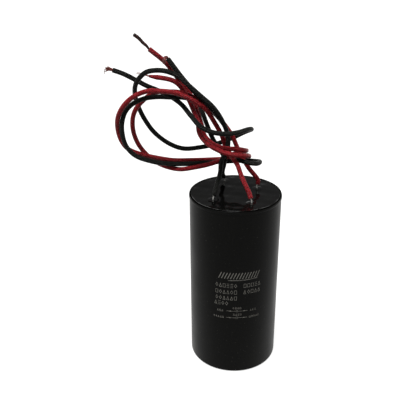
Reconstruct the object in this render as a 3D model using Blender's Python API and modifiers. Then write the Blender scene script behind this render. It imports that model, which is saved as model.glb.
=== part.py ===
"""Round motor capacitor: a moulded can, two stacked film windings cast in resin, and four flying leads.

Metres, +Z up. The can stands on z = 0 with its axis on x = y = 0, and the leads rise from its mouth.
"""

import math

import bmesh
import bpy
from mathutils import Vector

mm = 0.001

# Can: one moulded cup with a rounded bead round its mouth
can_diameter = 50.6 * mm
can_height = 104 * mm
can_wall = 1.6 * mm
can_floor = 2 * mm
can_base_fillet = 1.5 * mm
can_inner_fillet = 1.2 * mm
lip_proud = 0.4 * mm
lip_bead_radius = 1 * mm
mouth_chamfer = 0.4 * mm

# Resin cast round the contents, and what it has to leave free
casting_clearance = 0.3 * mm
casting_wall = 2.3 * mm
resin_cover = 10.8 * mm
mound_radius = 3 * mm
mound_height = 0.7 * mm
mound_root = 1 * mm
mound_neck = 0.35 * mm

# Two film windings on plastic core tubes, with sprayed end contacts
large_section_share = 0.5
winding_small_radius = 12.5 * mm
winding_chamfer = 0.4 * mm
core_radius = 4 * mm
core_wall = 0.6 * mm
contact_thickness = 0.6 * mm
seat_gap = 0.3 * mm

# Moulded spacers, with notches that let resin and the connecting wire in under a winding
spacer_plate = 1.2 * mm
spacer_ring_height = 2.4 * mm
spacer_ring_width = 2.6 * mm
spacer_hole_radius = 2.5 * mm
notch_count = 4
notch_margin = 0.6 * mm

# Tinned tail wires and their solder joints
tail_radius = 0.45 * mm
tail_bend_radius = 1.5 * mm
tail_lean = 1.1 * mm
tail_entry_depth = 2.5 * mm
tail_shift_depth = 7 * mm
beside_small_gap = 2.3 * mm
solder_radius = 1.6 * mm
solder_height = 0.9 * mm
solder_land_share = 0.5

# Insulated leads and their stripped ends
lead_radius = 1.2 * mm
lead_end_gap = 0.3 * mm
lead_point_spacing = 4.8 * mm
strand_bundle_radius = 0.75 * mm
thin_bundle_radius = 0.45 * mm
strand_point_spacing = 1.3 * mm

# Facets
can_steps = 64
inner_steps = 40
small_steps = 16
arc_points = 5
cut_overrun = 1 * mm
merge_distance = 0.01 * mm

# Worked out from the sizes above
can_radius = can_diameter / 2
bore_radius = can_radius - can_wall
resin_radius = bore_radius - casting_clearance
resin_bore_large = resin_radius - casting_wall
winding_large_radius = resin_bore_large - casting_clearance
resin_bore_small = winding_small_radius + casting_clearance
core_bore_in_winding = core_radius + casting_clearance
tail_channel_radius = tail_radius + casting_clearance
solder_land = solder_radius * solder_land_share

# The stack, from the can's floor up
base_spacer_z = can_floor + seat_gap
large_bottom_contact_z = base_spacer_z + spacer_plate + spacer_ring_height + seat_gap
large_winding_z = large_bottom_contact_z + contact_thickness + seat_gap
between_sections = 2 * (contact_thickness + seat_gap) + spacer_plate + spacer_ring_height + 2 * seat_gap
film_room = can_height - resin_cover - contact_thickness - seat_gap - large_winding_z - between_sections
large_film_width = film_room * large_section_share
small_film_width = film_room - large_film_width
large_top_contact_z = large_winding_z + large_film_width + seat_gap
resin_step_z = large_top_contact_z + contact_thickness + seat_gap
middle_spacer_z = resin_step_z
small_bottom_contact_z = middle_spacer_z + spacer_plate + spacer_ring_height + seat_gap
small_winding_z = small_bottom_contact_z + contact_thickness + seat_gap
small_top_contact_z = small_winding_z + small_film_width + seat_gap
resin_ceiling_z = small_top_contact_z + contact_thickness + seat_gap

# Places along each lead, in millimetres from the centre of the can's mouth
lead_routes = {
    "black_front": [
        (-12.2, -8.9, 1.9), (-11.5, -7.5, 4), (-10, -3.5, 7.5), (-8.5, -0.5, 12), (-8, 0, 18), (-6, -1, 23),
        (-4.5, -1.5, 28), (-5, -1.5, 34.5), (-8, -3.5, 42.5), (-12.5, -4.5, 49.5), (-19.5, -4.5, 56),
        (-25.5, -4.5, 61.5), (-30, -4, 65.5), (-36, -4, 68), (-41, -4, 68.5), (-46, -3.5, 67.5),
        (-49.5, -2, 64.5), (-52, 0.5, 60.5), (-53, 3.5, 55.5), (-52.5, 7, 49), (-49.5, 7.5, 41),
        (-44, 7.5, 32.5), (-36, 7.5, 26), (-28.5, 8, 23), (-19, 8.5, 23.5), (-10, 8.5, 25.5), (-1, 8.5, 29),
        (4.8, 7, 32.4), (8, 2, 35.5), (5.7, -4, 37.4), (0.5, -7.5, 37), (-6, -8.5, 36.5), (-13, -8.5, 37.5),
        (-19, -8.5, 40.5), (-24, -5.5, 45.5), (-29, 2, 49.5), (-34.5, 6, 52.5), (-42, 5.5, 57),
        (-52, 4.5, 62), (-63.6, 2.3, 67.5),
    ],
    "black_back": [
        (-5.6, 16.5, 2.3), (-6.5, 15.5, 5), (-6.5, 12.5, 8.5), (-6, 7, 14), (-6, 3.5, 19), (-8.5, 3.5, 23.5),
        (-12, 4, 29), (-15.5, 4, 37.5), (-18.5, 5.5, 45), (-23, 7, 50), (-28, 4, 52.5), (-34.5, 1, 53.5),
        (-41, 0, 54), (-47.5, -1, 53.5), (-53.5, -1, 50.5), (-57.3, -1, 46.5), (-59.5, -1.3, 41),
        (-60, -1.9, 34.5), (-58.5, -1, 27.5), (-54.3, -0.5, 22.3), (-46, 1, 18.3), (-37, 3.5, 15.8),
        (-27.5, 6.5, 14.5), (-17.5, 9, 14), (-6.5, 11, 14), (3.5, 9.5, 15), (9.5, 6.5, 16), (13, 1, 17.5),
        (10.5, -4.5, 18.5), (5.5, -5, 19.5), (0.5, -1.5, 20), (-3, 3, 21), (-4, 5, 24), (-4.5, 4, 29.5),
        (-5.5, 2, 36), (-9.5, -0.5, 43), (-15, -2, 50.5), (-22, -2, 57), (-28.5, -1, 64.5),
        (-35.2, 0.2, 73.4),
    ],
    "red_front": [
        (7.4, -13.9, 2.3), (6.5, -12.5, 5), (4.5, -11, 9), (2, -8.5, 14.5), (0.5, -7, 18.5), (-1.5, -4, 21),
        (-3.5, 0.5, 22.5), (-5.5, 2.5, 25.5), (-7.5, 1, 32), (-12, -1, 41), (-17, -3.5, 49), (-24, -4.5, 54),
        (-31, -4.5, 57), (-39, -4, 58), (-46, -4, 58), (-52.5, -4, 55.5), (-57.5, -4, 51), (-61.3, -3, 44.5),
        (-62.4, 0.1, 37), (-61.2, 1, 30.5), (-58, 2, 25.2), (-51.5, 3, 21.7), (-43.5, 4.5, 19.1),
        (-34.5, 7, 16.6), (-24.5, 10.5, 15.2), (-14.5, 13, 14.5), (-5, 14.5, 14.5), (2.5, 14, 16), (6.6, 10, 18),
        (7.1, 1.5, 20.4), (4, -4.5, 23), (-2, -8, 25), (-8.5, -8.5, 27), (-15.5, -7.5, 31), (-19.5, -6, 36),
        (-20.5, -4, 42), (-23, -1, 48), (-26.5, 1.5, 55), (-32, 1.5, 61.5), (-45.2, 2.3, 64.3),
    ],
    "red_back": [
        (12.7, 5.5, 2.6), (13, 5.5, 4.5), (12, 5.5, 6.5), (8, 5.5, 11.5), (4, 5.5, 18), (1, 6, 24),
        (-2, 5.5, 31), (-5.5, 5, 36.5), (-10, 3, 42.5), (-15.5, 1, 48.5), (-22, -0.5, 53.5),
        (-29, -1.5, 56.5), (-36, 0.5, 56.5), (-43, 3, 55.5), (-48.5, 4, 51.5), (-53, 4, 46.5),
        (-55, 4.5, 41), (-55, 4.5, 34), (-52.5, 5.5, 26), (-47.5, 6.5, 19), (-40.5, 6.5, 14), (-31, 5, 12),
        (-22.5, 5, 13), (-14, 6, 14.5), (-8, 8, 16), (-3, 10, 18), (1.8, 10.2, 19.5), (5.5, 6.3, 22), (4.6, -1.5, 25),
        (0, -5, 27), (-6.5, -5, 27.5), (-12.5, -4, 29.5), (-17, -3, 34), (-18.5, -2, 39.5), (-20, 0, 44),
        (-22, 3, 49), (-24.5, 4, 54.5), (-30, 4, 62), (-36.5, 2.5, 71), (-44.4, 1, 78.1),
    ],
}

# Places along each stripped end, past the end of its insulation
bare_routes = {
    "black_front": [(-64.6, 2.2, 67.9), (-66, 2.3, 68.2), (-67.3, 2.6, 68.1)],
    "black_back": [(-35.8, 0.3, 74.3), (-36.8, -0.6, 74.3), (-37.5, -1.3, 73), (-37.3, -1.8, 71.4)],
    "red_front": [(-46.2, 2.6, 64.5), (-49.2, 3.6, 65.1), (-52.2, 4.3, 65.6)],
    "red_back": [(-45.6, 1, 79.6), (-47.4, 1.2, 81.2), (-49.4, 1.5, 83.3), (-52, 2, 85.2)],
}


def clear_scene():
    for obj in list(bpy.data.objects):
        bpy.data.objects.remove(obj)


def add_collection(name):
    collection = bpy.data.collections.new(name)
    bpy.context.scene.collection.children.link(collection)
    return collection


def add_material(name, colour, roughness, metallic=0.0):
    material = bpy.data.materials.new(name)
    material.use_nodes = True
    shader = material.node_tree.nodes["Principled BSDF"]
    shader.inputs["Base Color"].default_value = (*colour, 1)
    shader.inputs["Roughness"].default_value = roughness
    shader.inputs["Metallic"].default_value = metallic
    material.diffuse_color = (*colour, 1)
    return material


clear_scene()
capacitor = add_collection("capacitor")
cutters = add_collection("cutters")
cutters.hide_render = True
holder = bpy.data.objects.new("capacitor_origin", None)
capacitor.objects.link(holder)

can_plastic = add_material("can_plastic", (0.012, 0.012, 0.011), 0.38)
casting_resin = add_material("casting_resin", (0.008, 0.008, 0.008), 0.12)
metallised_film = add_material("metallised_film", (0.55, 0.56, 0.57), 0.35, 0.6)
core_plastic = add_material("core_plastic", (0.75, 0.74, 0.7), 0.5)
sprayed_zinc = add_material("sprayed_zinc", (0.42, 0.43, 0.44), 0.75, 0.8)
spacer_plastic = add_material("spacer_plastic", (0.7, 0.69, 0.64), 0.5)
tinned_copper = add_material("tinned_copper", (0.72, 0.72, 0.7), 0.25, 1.0)
solder_alloy = add_material("solder_alloy", (0.6, 0.6, 0.6), 0.3, 1.0)
red_pvc = add_material("red_pvc", (0.32, 0.026, 0.032), 0.35)
black_pvc = add_material("black_pvc", (0.01, 0.011, 0.01), 0.35)
bare_copper = add_material("bare_copper", (0.42, 0.18, 0.12), 0.4, 1.0)


def place_in(collection, obj, material):
    """A cutter or a part, linked where it belongs and given its material."""
    collection.objects.link(obj)
    if material:
        obj.data.materials.append(material)
    if collection is cutters:
        obj.hide_render = True
        obj.display_type = "WIRE"
    else:
        obj.parent = holder
    return obj


def arc(centre_r, centre_z, radius, start_degrees, end_degrees):
    """Profile points on an arc, from one angle to the other."""
    points = []
    for i in range(arc_points + 1):
        angle = math.radians(start_degrees + (end_degrees - start_degrees) * i / arc_points)
        points.append((centre_r + radius * math.cos(angle), centre_z + radius * math.sin(angle)))
    return points


def turned(name, profile, material, steps, closed=False, at=(0, 0), collection=capacitor):
    """A turned piece: its profile runs down the outer side, and closed joins the last point to the first."""
    mesh = bpy.data.meshes.new(name)
    edges = [(i, i + 1) for i in range(len(profile) - 1)]
    if closed:
        edges.append((len(profile) - 1, 0))
    mesh.from_pydata([(r, 0, z) for r, z in profile], edges, [])
    obj = place_in(collection, bpy.data.objects.new(name, mesh), material)
    obj.location = (*at, 0)
    screw = obj.modifiers.new("Turn", "SCREW")
    screw.steps = steps
    screw.render_steps = steps
    screw.use_merge_vertices = True
    screw.merge_threshold = merge_distance
    screw.use_smooth_shade = True
    return obj


def ring(name, inner, outer, bottom, top, chamfer, material, steps=inner_steps):
    """A flat or tall ring, with its outer edges broken if it has a chamfer."""
    if chamfer:
        shy = outer - chamfer
        outside = [(shy, top), (outer, top - chamfer), (outer, bottom + chamfer), (shy, bottom)]
    else:
        outside = [(outer, top), (outer, bottom)]
    profile = [(inner, top)] + outside + [(inner, bottom)]
    return turned(name, profile, material, steps, closed=True)


def smooth_route(points, spacing):
    """Even points along a centripetal Catmull-Rom curve through the given ones."""
    ends = [2 * points[0] - points[1]] + points + [2 * points[-1] - points[-2]]
    fine = []
    pieces = 24
    for a, b, c, d in zip(ends, ends[1:], ends[2:], ends[3:]):
        t1 = math.sqrt((b - a).length)
        t2 = t1 + math.sqrt((c - b).length)
        t3 = t2 + math.sqrt((d - c).length)
        for i in range(pieces):
            t = t1 + (t2 - t1) * i / pieces
            ab = a.lerp(b, t / t1)
            bc = b.lerp(c, (t - t1) / (t2 - t1))
            cd = c.lerp(d, (t - t2) / (t3 - t2))
            abc = ab.lerp(bc, t / t2)
            bcd = bc.lerp(cd, (t - t1) / (t3 - t1))
            fine.append(abc.lerp(bcd, (t - t1) / (t2 - t1)))
    fine.append(points[-1])
    travelled = [0]
    for a, b in zip(fine, fine[1:]):
        travelled.append(travelled[-1] + (b - a).length)
    count = round(travelled[-1] / spacing)
    even = []
    at = 0
    for i in range(count + 1):
        wanted = travelled[-1] * i / count
        while at < len(fine) - 2 and travelled[at + 1] < wanted:
            at += 1
        along = (wanted - travelled[at]) / (travelled[at + 1] - travelled[at])
        even.append(fine[at].lerp(fine[at + 1], along))
    return even


def rounded_path(corners, radius):
    """A wire's path through its corners, each turned on an arc of the wire's bend radius."""
    path = [corners[0]]
    for before, corner, after in zip(corners, corners[1:], corners[2:]):
        to_before = (before - corner).normalized()
        to_after = (after - corner).normalized()
        half_angle = to_before.angle(to_after) / 2
        reach = min(radius / math.tan(half_angle), (before - corner).length / 2, (after - corner).length / 2)
        bend = reach * math.tan(half_angle)
        if bend < merge_distance or half_angle > math.radians(89):
            path.append(corner)
            continue
        middle = corner + (to_before + to_after).normalized() * bend / math.sin(half_angle)
        start = (corner + to_before * reach - middle).normalized()
        end = (corner + to_after * reach - middle).normalized()
        path += [middle + start.slerp(end, i / arc_points) * bend for i in range(arc_points + 1)]
    return path + [corners[-1]]


def wire(name, path, radius, material, collection=capacitor):
    """A round wire or tube of insulation along a path, with its ends closed."""
    curve = bpy.data.curves.new(name, "CURVE")
    curve.dimensions = "3D"
    curve.bevel_depth = radius
    curve.bevel_resolution = 2
    curve.use_fill_caps = True
    spline = curve.splines.new("POLY")
    spline.points.add(len(path) - 1)
    for point, place in zip(spline.points, path):
        point.co = (*place, 1)
    return place_in(collection, bpy.data.objects.new(name, curve), material)


def wire_cutter(name, path, radius):
    """The same wire, fatter and as a mesh, to cut its channel."""
    guide = wire(name + "_guide", path, radius, None, cutters)
    bpy.context.view_layer.update()
    mesh = bpy.data.meshes.new_from_object(guide.evaluated_get(bpy.context.evaluated_depsgraph_get()))
    shape = bmesh.new()
    shape.from_mesh(mesh)
    bmesh.ops.remove_doubles(shape, verts=shape.verts, dist=merge_distance)
    shape.to_mesh(mesh)
    shape.free()
    cutter = place_in(cutters, bpy.data.objects.new(name, mesh), None)
    cutter.matrix_world = guide.matrix_world
    bpy.data.objects.remove(guide)
    return cutter


def combine(target, other, operation):
    boolean = target.modifiers.new(f"{operation.title()} {other.name}", "BOOLEAN")
    boolean.operation = operation
    boolean.solver = "EXACT"
    boolean.object = other


def notched_spacer(name, radius, bottom, wire_angle):
    """A moulded spacer: a plate and a raised ring, notched so that resin and wire reach under the winding."""
    plate_top = bottom + spacer_plate
    ring_top = plate_top + spacer_ring_height
    ring_inner = radius - spacer_ring_width
    profile = [
        (ring_inner, ring_top), (radius, ring_top), (radius, bottom),
        (spacer_hole_radius, bottom), (spacer_hole_radius, plate_top), (ring_inner, plate_top),
    ]
    spacer = turned(name, profile, spacer_plastic, inner_steps, closed=True)
    half_width = tail_radius + casting_clearance + notch_margin
    depth = ring_top + cut_overrun - plate_top
    reach = radius - spacer_ring_width / 2
    for i in range(notch_count):
        angle = wire_angle + math.tau * i / notch_count
        middle = (reach * math.cos(angle), reach * math.sin(angle), plate_top + depth / 2)
        bpy.ops.mesh.primitive_cube_add(size=1, location=middle)
        notch = bpy.context.object
        notch.name = f"{name}_notch_{i + 1}"
        notch.dimensions = (spacer_ring_width + 2 * cut_overrun, 2 * half_width, depth)
        notch.rotation_euler.z = angle
        for owner in list(notch.users_collection):
            owner.objects.unlink(notch)
        place_in(cutters, notch, None)
        combine(spacer, notch, "DIFFERENCE")
    return spacer


def solder_joint(name, at, face, flipped=False):
    """A low dome of solder on a contact face, turned over under the lower faces."""
    away = -1 if flipped else 1
    tip = face + away * solder_height
    shoulder = face + away * solder_height * solder_land_share
    profile = [(0, tip), (solder_land, tip), (solder_radius, shoulder), (solder_radius, face), (0, face)]
    if flipped:
        profile.reverse()
    return turned(name, profile, solder_alloy, small_steps, at=at)


def can():
    """The cup: floor, wall, and a bead that stands a little proud round the mouth."""
    bead_r = can_radius + lip_proud - lip_bead_radius
    bead_z = can_height - lip_bead_radius
    under_bead = -math.degrees(math.acos((can_radius - bead_r) / lip_bead_radius))
    profile = [(0, can_floor)]
    profile += arc(bore_radius - can_inner_fillet, can_floor + can_inner_fillet, can_inner_fillet, -90, 0)
    profile += [(bore_radius, can_height - mouth_chamfer), (bore_radius + mouth_chamfer, can_height)]
    profile += arc(bead_r, bead_z, lip_bead_radius, 90, under_bead)
    profile += arc(can_radius - can_base_fillet, can_base_fillet, can_base_fillet, 0, -90)
    profile += [(0, 0)]
    return turned("can", profile, can_plastic, can_steps)


def windings():
    """Both film windings with their core tubes and sprayed end contacts."""
    sections = (
        ("large", winding_large_radius, large_winding_z, large_film_width),
        ("small", winding_small_radius, small_winding_z, small_film_width),
    )
    contact_step = contact_thickness + seat_gap
    bore = core_bore_in_winding
    for name, radius, z, width in sections:
        top = z + width
        ring(f"winding_{name}", bore, radius, z, top, winding_chamfer, metallised_film)
        ring(f"core_tube_{name}", core_radius - core_wall, core_radius, z, top, 0, core_plastic, small_steps)
        ring(f"end_contact_{name}_bottom", bore, radius, z - contact_step, z - seat_gap, 0, sprayed_zinc)
        ring(f"end_contact_{name}_top", bore, radius, top + seat_gap, top + contact_step, 0, sprayed_zinc)


def route_places(name, routes):
    """A hand-chosen route, lifted to the can's mouth."""
    mouth = Vector((0, 0, can_height))
    return [mouth + Vector(place) * mm for place in routes[name]]


def leads():
    """The insulated leads and their stripped ends."""
    for name in lead_routes:
        colour = black_pvc if name.startswith("black") else red_pvc
        path = smooth_route(route_places(name, lead_routes), lead_point_spacing)
        wire(f"lead_{name}", path, lead_radius, colour)
        onward = (path[-1] - path[-2]).normalized()
        bare = [path[-1] + onward * lead_end_gap] + route_places(name, bare_routes)
        radius = thin_bundle_radius if name == "red_front" else strand_bundle_radius
        wire(f"bare_end_{name}", smooth_route(bare, strand_point_spacing), radius, bare_copper)


def tail_top(name):
    """The last two places of a tail wire: where it starts to lean, and its end just short of the lead."""
    path = smooth_route(route_places(name, lead_routes), lead_point_spacing)
    onward = (path[1] - path[0]).normalized()
    end = path[0] - onward * lead_end_gap
    return [end - onward * tail_lean, end]


def solder_under(spacer_radius):
    """How far from the axis the solder lies under a winding, just inside its spacer's ring."""
    return spacer_radius - spacer_ring_width - casting_clearance - solder_radius


def tail_paths():
    """Each tail wire from its contact, up through the resin, to its lead."""
    beside_small = resin_bore_small + beside_small_gap
    beside_large = (resin_bore_large + resin_radius) / 2
    on_small = (core_bore_in_winding + winding_small_radius) / 2
    solder_reach = seat_gap + solder_height + seat_gap
    over_base = base_spacer_z + spacer_plate + seat_gap + tail_radius
    over_middle = middle_spacer_z + spacer_plate + seat_gap + tail_radius
    runs = {
        "black_front": (beside_small, None, large_top_contact_z + contact_thickness + solder_reach),
        "black_back": (beside_large, solder_under(winding_large_radius) - solder_land, over_base),
        "red_front": (beside_small, solder_under(winding_small_radius) - solder_land, over_middle),
        "red_back": (on_small, None, small_top_contact_z + contact_thickness + solder_reach),
    }
    paths = {}
    for name, (down_radius, hook_radius, low_z) in runs.items():
        lean, end = tail_top(name)
        outward = Vector((lean.x, lean.y, 0)).normalized()
        entry = Vector((lean.x, lean.y, can_height - tail_entry_depth))
        high = outward * down_radius + Vector((0, 0, can_height - tail_shift_depth))
        low = outward * down_radius + Vector((0, 0, low_z))
        corners = [end, lean, entry, high, low]
        if hook_radius:
            corners.append(outward * hook_radius + Vector((0, 0, low_z)))
        paths[name] = rounded_path(corners, tail_bend_radius)
    return paths


def potting_resin(paths, pockets):
    """The casting: a stepped cap over both windings, raised round the wires and channelled for them."""
    profile = [
        (0, can_height), (resin_radius, can_height), (resin_radius, base_spacer_z + can_inner_fillet),
        (resin_radius - can_inner_fillet, base_spacer_z), (resin_bore_large, base_spacer_z),
        (resin_bore_large, resin_step_z), (resin_bore_small, resin_step_z),
        (resin_bore_small, resin_ceiling_z), (0, resin_ceiling_z),
    ]
    resin = turned("potting_resin", profile, casting_resin, can_steps)
    for name in paths:
        lean = tail_top(name)[0]
        combine(resin, meniscus(name, (lean.x, lean.y)), "UNION")
    for name, at, bottom in pockets:
        radius = solder_radius + casting_clearance
        top = bottom + seat_gap + solder_height + seat_gap + cut_overrun
        low = bottom - cut_overrun
        profile = [(0, top), (radius, top), (radius, low), (0, low)]
        pocket = turned(f"{name}_pocket", profile, None, small_steps, at=at, collection=cutters)
        combine(resin, pocket, "DIFFERENCE")
    for name, path in paths.items():
        combine(resin, wire_cutter(f"{name}_channel", path, tail_channel_radius), "DIFFERENCE")
    return resin


def meniscus(name, at):
    """The small cone of resin that creeps up a wire, sunk a little into the surface round it."""
    neck = tail_channel_radius + mound_neck
    profile = [(0, can_height + mound_height)]
    for i in range(arc_points + 1):
        share = i / arc_points
        rise = (mound_height + merge_distance) * (1 - share) ** 2 - merge_distance
        profile.append((neck + (mound_radius - neck) * share, can_height + rise))
    profile += [(mound_radius, can_height - mound_root), (0, can_height - mound_root)]
    return turned(f"{name}_meniscus", profile, None, small_steps, at=at, collection=cutters)


def contents():
    """Spacers, tail wires and solder joints, then the resin that is cast round them."""
    paths = tail_paths()
    angle = {name: math.atan2(path[-1].y, path[-1].x) for name, path in paths.items()}
    notched_spacer("base_spacer", winding_large_radius, base_spacer_z, angle["black_back"])
    notched_spacer("middle_spacer", winding_small_radius, middle_spacer_z, angle["red_front"])
    upright = {"black_front": large_top_contact_z, "red_back": small_top_contact_z}
    under = {"black_back": large_bottom_contact_z, "red_front": small_bottom_contact_z}
    pockets = []
    for name, path in paths.items():
        wire(f"tail_{name}", path, tail_radius, tinned_copper)
        if name in upright:
            at = (path[-1].x, path[-1].y)
            contact_top = upright[name] + contact_thickness
            solder_joint(f"solder_{name}", at, contact_top + seat_gap)
            pockets.append((name, at, contact_top + seat_gap))
        else:
            outward = Vector((math.cos(angle[name]), math.sin(angle[name]), 0))
            at = path[-1] + outward * solder_land
            solder_joint(f"solder_{name}", (at.x, at.y), under[name] - seat_gap, flipped=True)
    potting_resin(paths, pockets)


can()
windings()
contents()
leads()
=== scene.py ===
import bisect
import math
import random

import bmesh
import bpy
from mathutils import Matrix, Vector


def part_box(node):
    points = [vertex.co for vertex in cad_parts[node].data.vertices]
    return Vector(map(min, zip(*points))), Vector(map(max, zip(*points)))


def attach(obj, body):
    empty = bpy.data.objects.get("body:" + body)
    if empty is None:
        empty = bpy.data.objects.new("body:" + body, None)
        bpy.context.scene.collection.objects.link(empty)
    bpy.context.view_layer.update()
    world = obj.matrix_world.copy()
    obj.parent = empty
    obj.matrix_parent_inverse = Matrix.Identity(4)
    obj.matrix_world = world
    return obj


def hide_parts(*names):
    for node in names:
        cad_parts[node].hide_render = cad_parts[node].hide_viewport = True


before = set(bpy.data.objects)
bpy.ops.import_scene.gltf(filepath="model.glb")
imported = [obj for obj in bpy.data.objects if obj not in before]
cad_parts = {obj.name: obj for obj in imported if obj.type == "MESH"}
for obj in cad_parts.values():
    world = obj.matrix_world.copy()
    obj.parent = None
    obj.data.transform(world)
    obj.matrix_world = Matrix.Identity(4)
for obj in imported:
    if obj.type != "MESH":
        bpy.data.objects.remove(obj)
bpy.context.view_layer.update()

mm = 0.001
nearEnough = 0.02 * mm      # two places this close are taken for the same one
canLow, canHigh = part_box("can")
mouth = Vector((0, 0, canHigh.z))

# the camera stands where the photo was taken from
shot = {
    "place": Vector((-19.6, -296.8, 234.28)) * mm,
    "pitchDown": 24.43,      # degrees below level
    "roll": -0.464,          # degrees
    "lens": 52.72,           # mm
    "sensor": 36,            # mm
    "nearest": 0.01,         # m, from where to where it sees
    "farthest": 40,
}


def addCamera():
    lens = bpy.data.cameras.new("photoCamera")
    lens.lens = shot["lens"]
    lens.sensor_width = shot["sensor"]
    lens.clip_start = shot["nearest"]
    lens.clip_end = shot["farthest"]
    camera = bpy.data.objects.new("photoCamera", lens)
    bpy.context.scene.collection.objects.link(camera)
    pitch = Matrix.Rotation(math.radians(90 - shot["pitchDown"]), 4, "X")
    roll = Matrix.Rotation(math.radians(shot["roll"]), 4, "Z")
    camera.matrix_world = Matrix.Translation(shot["place"]) @ pitch @ roll
    bpy.context.scene.camera = camera


addCamera()
print("camera in place")


# colours are written as sRGB hex and turned to linear here
def linear(hexColour):
    channels = [int(hexColour[i:i + 2], 16) / 255 for i in (1, 3, 5)]
    return (*[c / 12.92 if c <= 0.04045 else ((c + 0.055) / 1.055) ** 2.4 for c in channels], 1)


# a socket goes by its name, with _ for a space, or by i and its number
def addNode(material, kind, settings=None, **inputs):
    node = material.node_tree.nodes.new(kind)
    for name, value in (settings or {}).items():
        setattr(node, name, value)
    for name, value in inputs.items():
        key = int(name[1:]) if name[1:].isdigit() else name.replace("_", " ")
        socket = node.inputs[key]
        if isinstance(value, bpy.types.NodeSocket):
            material.node_tree.links.new(value, socket)
        else:
            socket.default_value = value
    return node


# each finish is a dictionary: its noises are given by the size of their lumps in millimetres and their
# detail, and its colour, roughness and relief each follow a pattern by name. Relief is in millimetres, the
# lowest layer first
noiseSpan = (0.3, 0.7)      # most of a noise's values lie between these two


def startMaterial(finish):
    material = bpy.data.materials.new(finish["name"])
    material.use_nodes = True
    shader = material.node_tree.nodes["Principled BSDF"]
    for socket, value in finish["sockets"].items():
        shader.inputs[socket].default_value = value
    where = addNode(material, "ShaderNodeTexCoord").outputs["Object"]
    patterns = {}
    for name, (size, detail) in finish["noises"].items():
        noise = addNode(material, "ShaderNodeTexNoise", Vector=where, Scale=1 / (size * mm), Detail=detail)
        patterns[name] = noise.outputs["Fac"]
    return material, shader, patterns


def finishMaterial(material, shader, patterns, finish):
    links = material.node_tree.links
    low, high = noiseSpan
    pattern, dark, light = finish["colour"]
    share = addNode(material, "ShaderNodeMapRange", Value=patterns[pattern], From_Min=low, From_Max=high)
    colour = addNode(material, "ShaderNodeMix", {"data_type": "RGBA"}, i0=share.outputs[0],
                     i6=linear(dark), i7=linear(light))
    links.new(colour.outputs[2], shader.inputs["Base Color"])
    pattern, smooth, rough = finish["roughness"]
    gloss = addNode(material, "ShaderNodeMapRange", Value=patterns[pattern], From_Min=low, From_Max=high,
                    To_Min=smooth, To_Max=rough)
    links.new(gloss.outputs[0], shader.inputs["Roughness"])
    under = {}
    for pattern, depth in finish.get("relief", ()):
        relief = addNode(material, "ShaderNodeBump", Height=patterns[pattern], Distance=depth * mm,
                         Strength=1.0, **under)
        under = {"Normal": relief.outputs["Normal"]}
        links.new(relief.outputs["Normal"], shader.inputs["Normal"])
    return colour.outputs[2]


def plainMaterial(finish):
    material, shader, patterns = startMaterial(finish)
    finishMaterial(material, shader, patterns, finish)
    return material


# polypropylene, injection moulded: satin, with a fine spark-eroded grain, a slow unevenness that bends
# reflections and a few specks of dust that keep it from looking new
mouldedPolypropylene = {
    "name": "mouldedPolypropylene",
    "sockets": {"Specular IOR Level": 0.044},
    "noises": {
        "grain": (0.45, 2.0),      # the real grain is about 0.1 mm, drawn coarser to show
        "slow": (14.0, 2.0),
        "mottle": (0.9, 5.0),
        "specks": (0.9, 1.0),
    },
    "colour": ("mottle", "#090908", "#10100f"),
    "roughness": ("slow", 0.3, 0.38),
    "relief": (("slow", 0.06), ("grain", 0.01)),
    "dust": (0.735, 0.76, "#2f2e2b"),      # lies only where the specks' noise peaks
}


def dustyPlastic(finish):
    material, shader, patterns = startMaterial(finish)
    plastic = finishMaterial(material, shader, patterns, finish)
    low, high, dustColour = finish["dust"]
    dust = addNode(material, "ShaderNodeMapRange", Value=patterns["specks"], From_Min=low, From_Max=high)
    dusty = addNode(material, "ShaderNodeMix", {"data_type": "RGBA"}, i0=dust.outputs[0], i6=plastic,
                    i7=linear(dustColour))
    material.node_tree.links.new(dusty.outputs[2], shader.inputs["Base Color"])
    return material


# epoxy cast in place: it mirrors what is over it, softly bent by the ripples left as it set
castEpoxy = {
    "name": "castEpoxy",
    "sockets": {"Specular IOR Level": 0.52},
    "noises": {"cloud": (7.0, 3.0), "haze": (5.0, 3.0), "ripples": (6.0, 2.0), "specks": (0.6, 1.0)},
    "colour": ("cloud", "#060606", "#0a0a09"),
    "roughness": ("haze", 0.05, 0.1),
    "relief": (("ripples", 0.008), ("specks", 0.001)),
}

# extruded PVC over stranded wire: a soft gloss, with the strands' lay telling through the skin as slanted
# ridges, with a painted highlight on each crest and painted shade in the troughs between them
extrudedPvc = {
    "noises": {"scuffs": (0.9, 4.0)},
    "relief": (("scuffs", 0.06), ("ridges", 0.12)),
    "strands": 8,
    "lay": 9.0,        # mm along the lead for one turn of the strands
    "girth": 7.98,     # mm round the lead
    # painted highlight and painted shade that follow the ridges in the colour
    "ridgeShading": 0.12,      # how strongly the ridges tell in the colour
}
blackPvc = {
    **extrudedPvc,
    "name": "blackPvc",
    "sockets": {"Specular IOR Level": 0.03},
    "colour": ("stain", "#0c0c0b", "#282927"),
    "roughness": ("scuffs", 0.24, 0.4),
}
redPvc = {
    **extrudedPvc,
    "name": "redPvc",
    "sockets": {"Specular IOR Level": 0.06},
    "colour": ("stain", "#5c1418", "#a62c32"),
    "roughness": ("scuffs", 0.22, 0.38),
}


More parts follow.
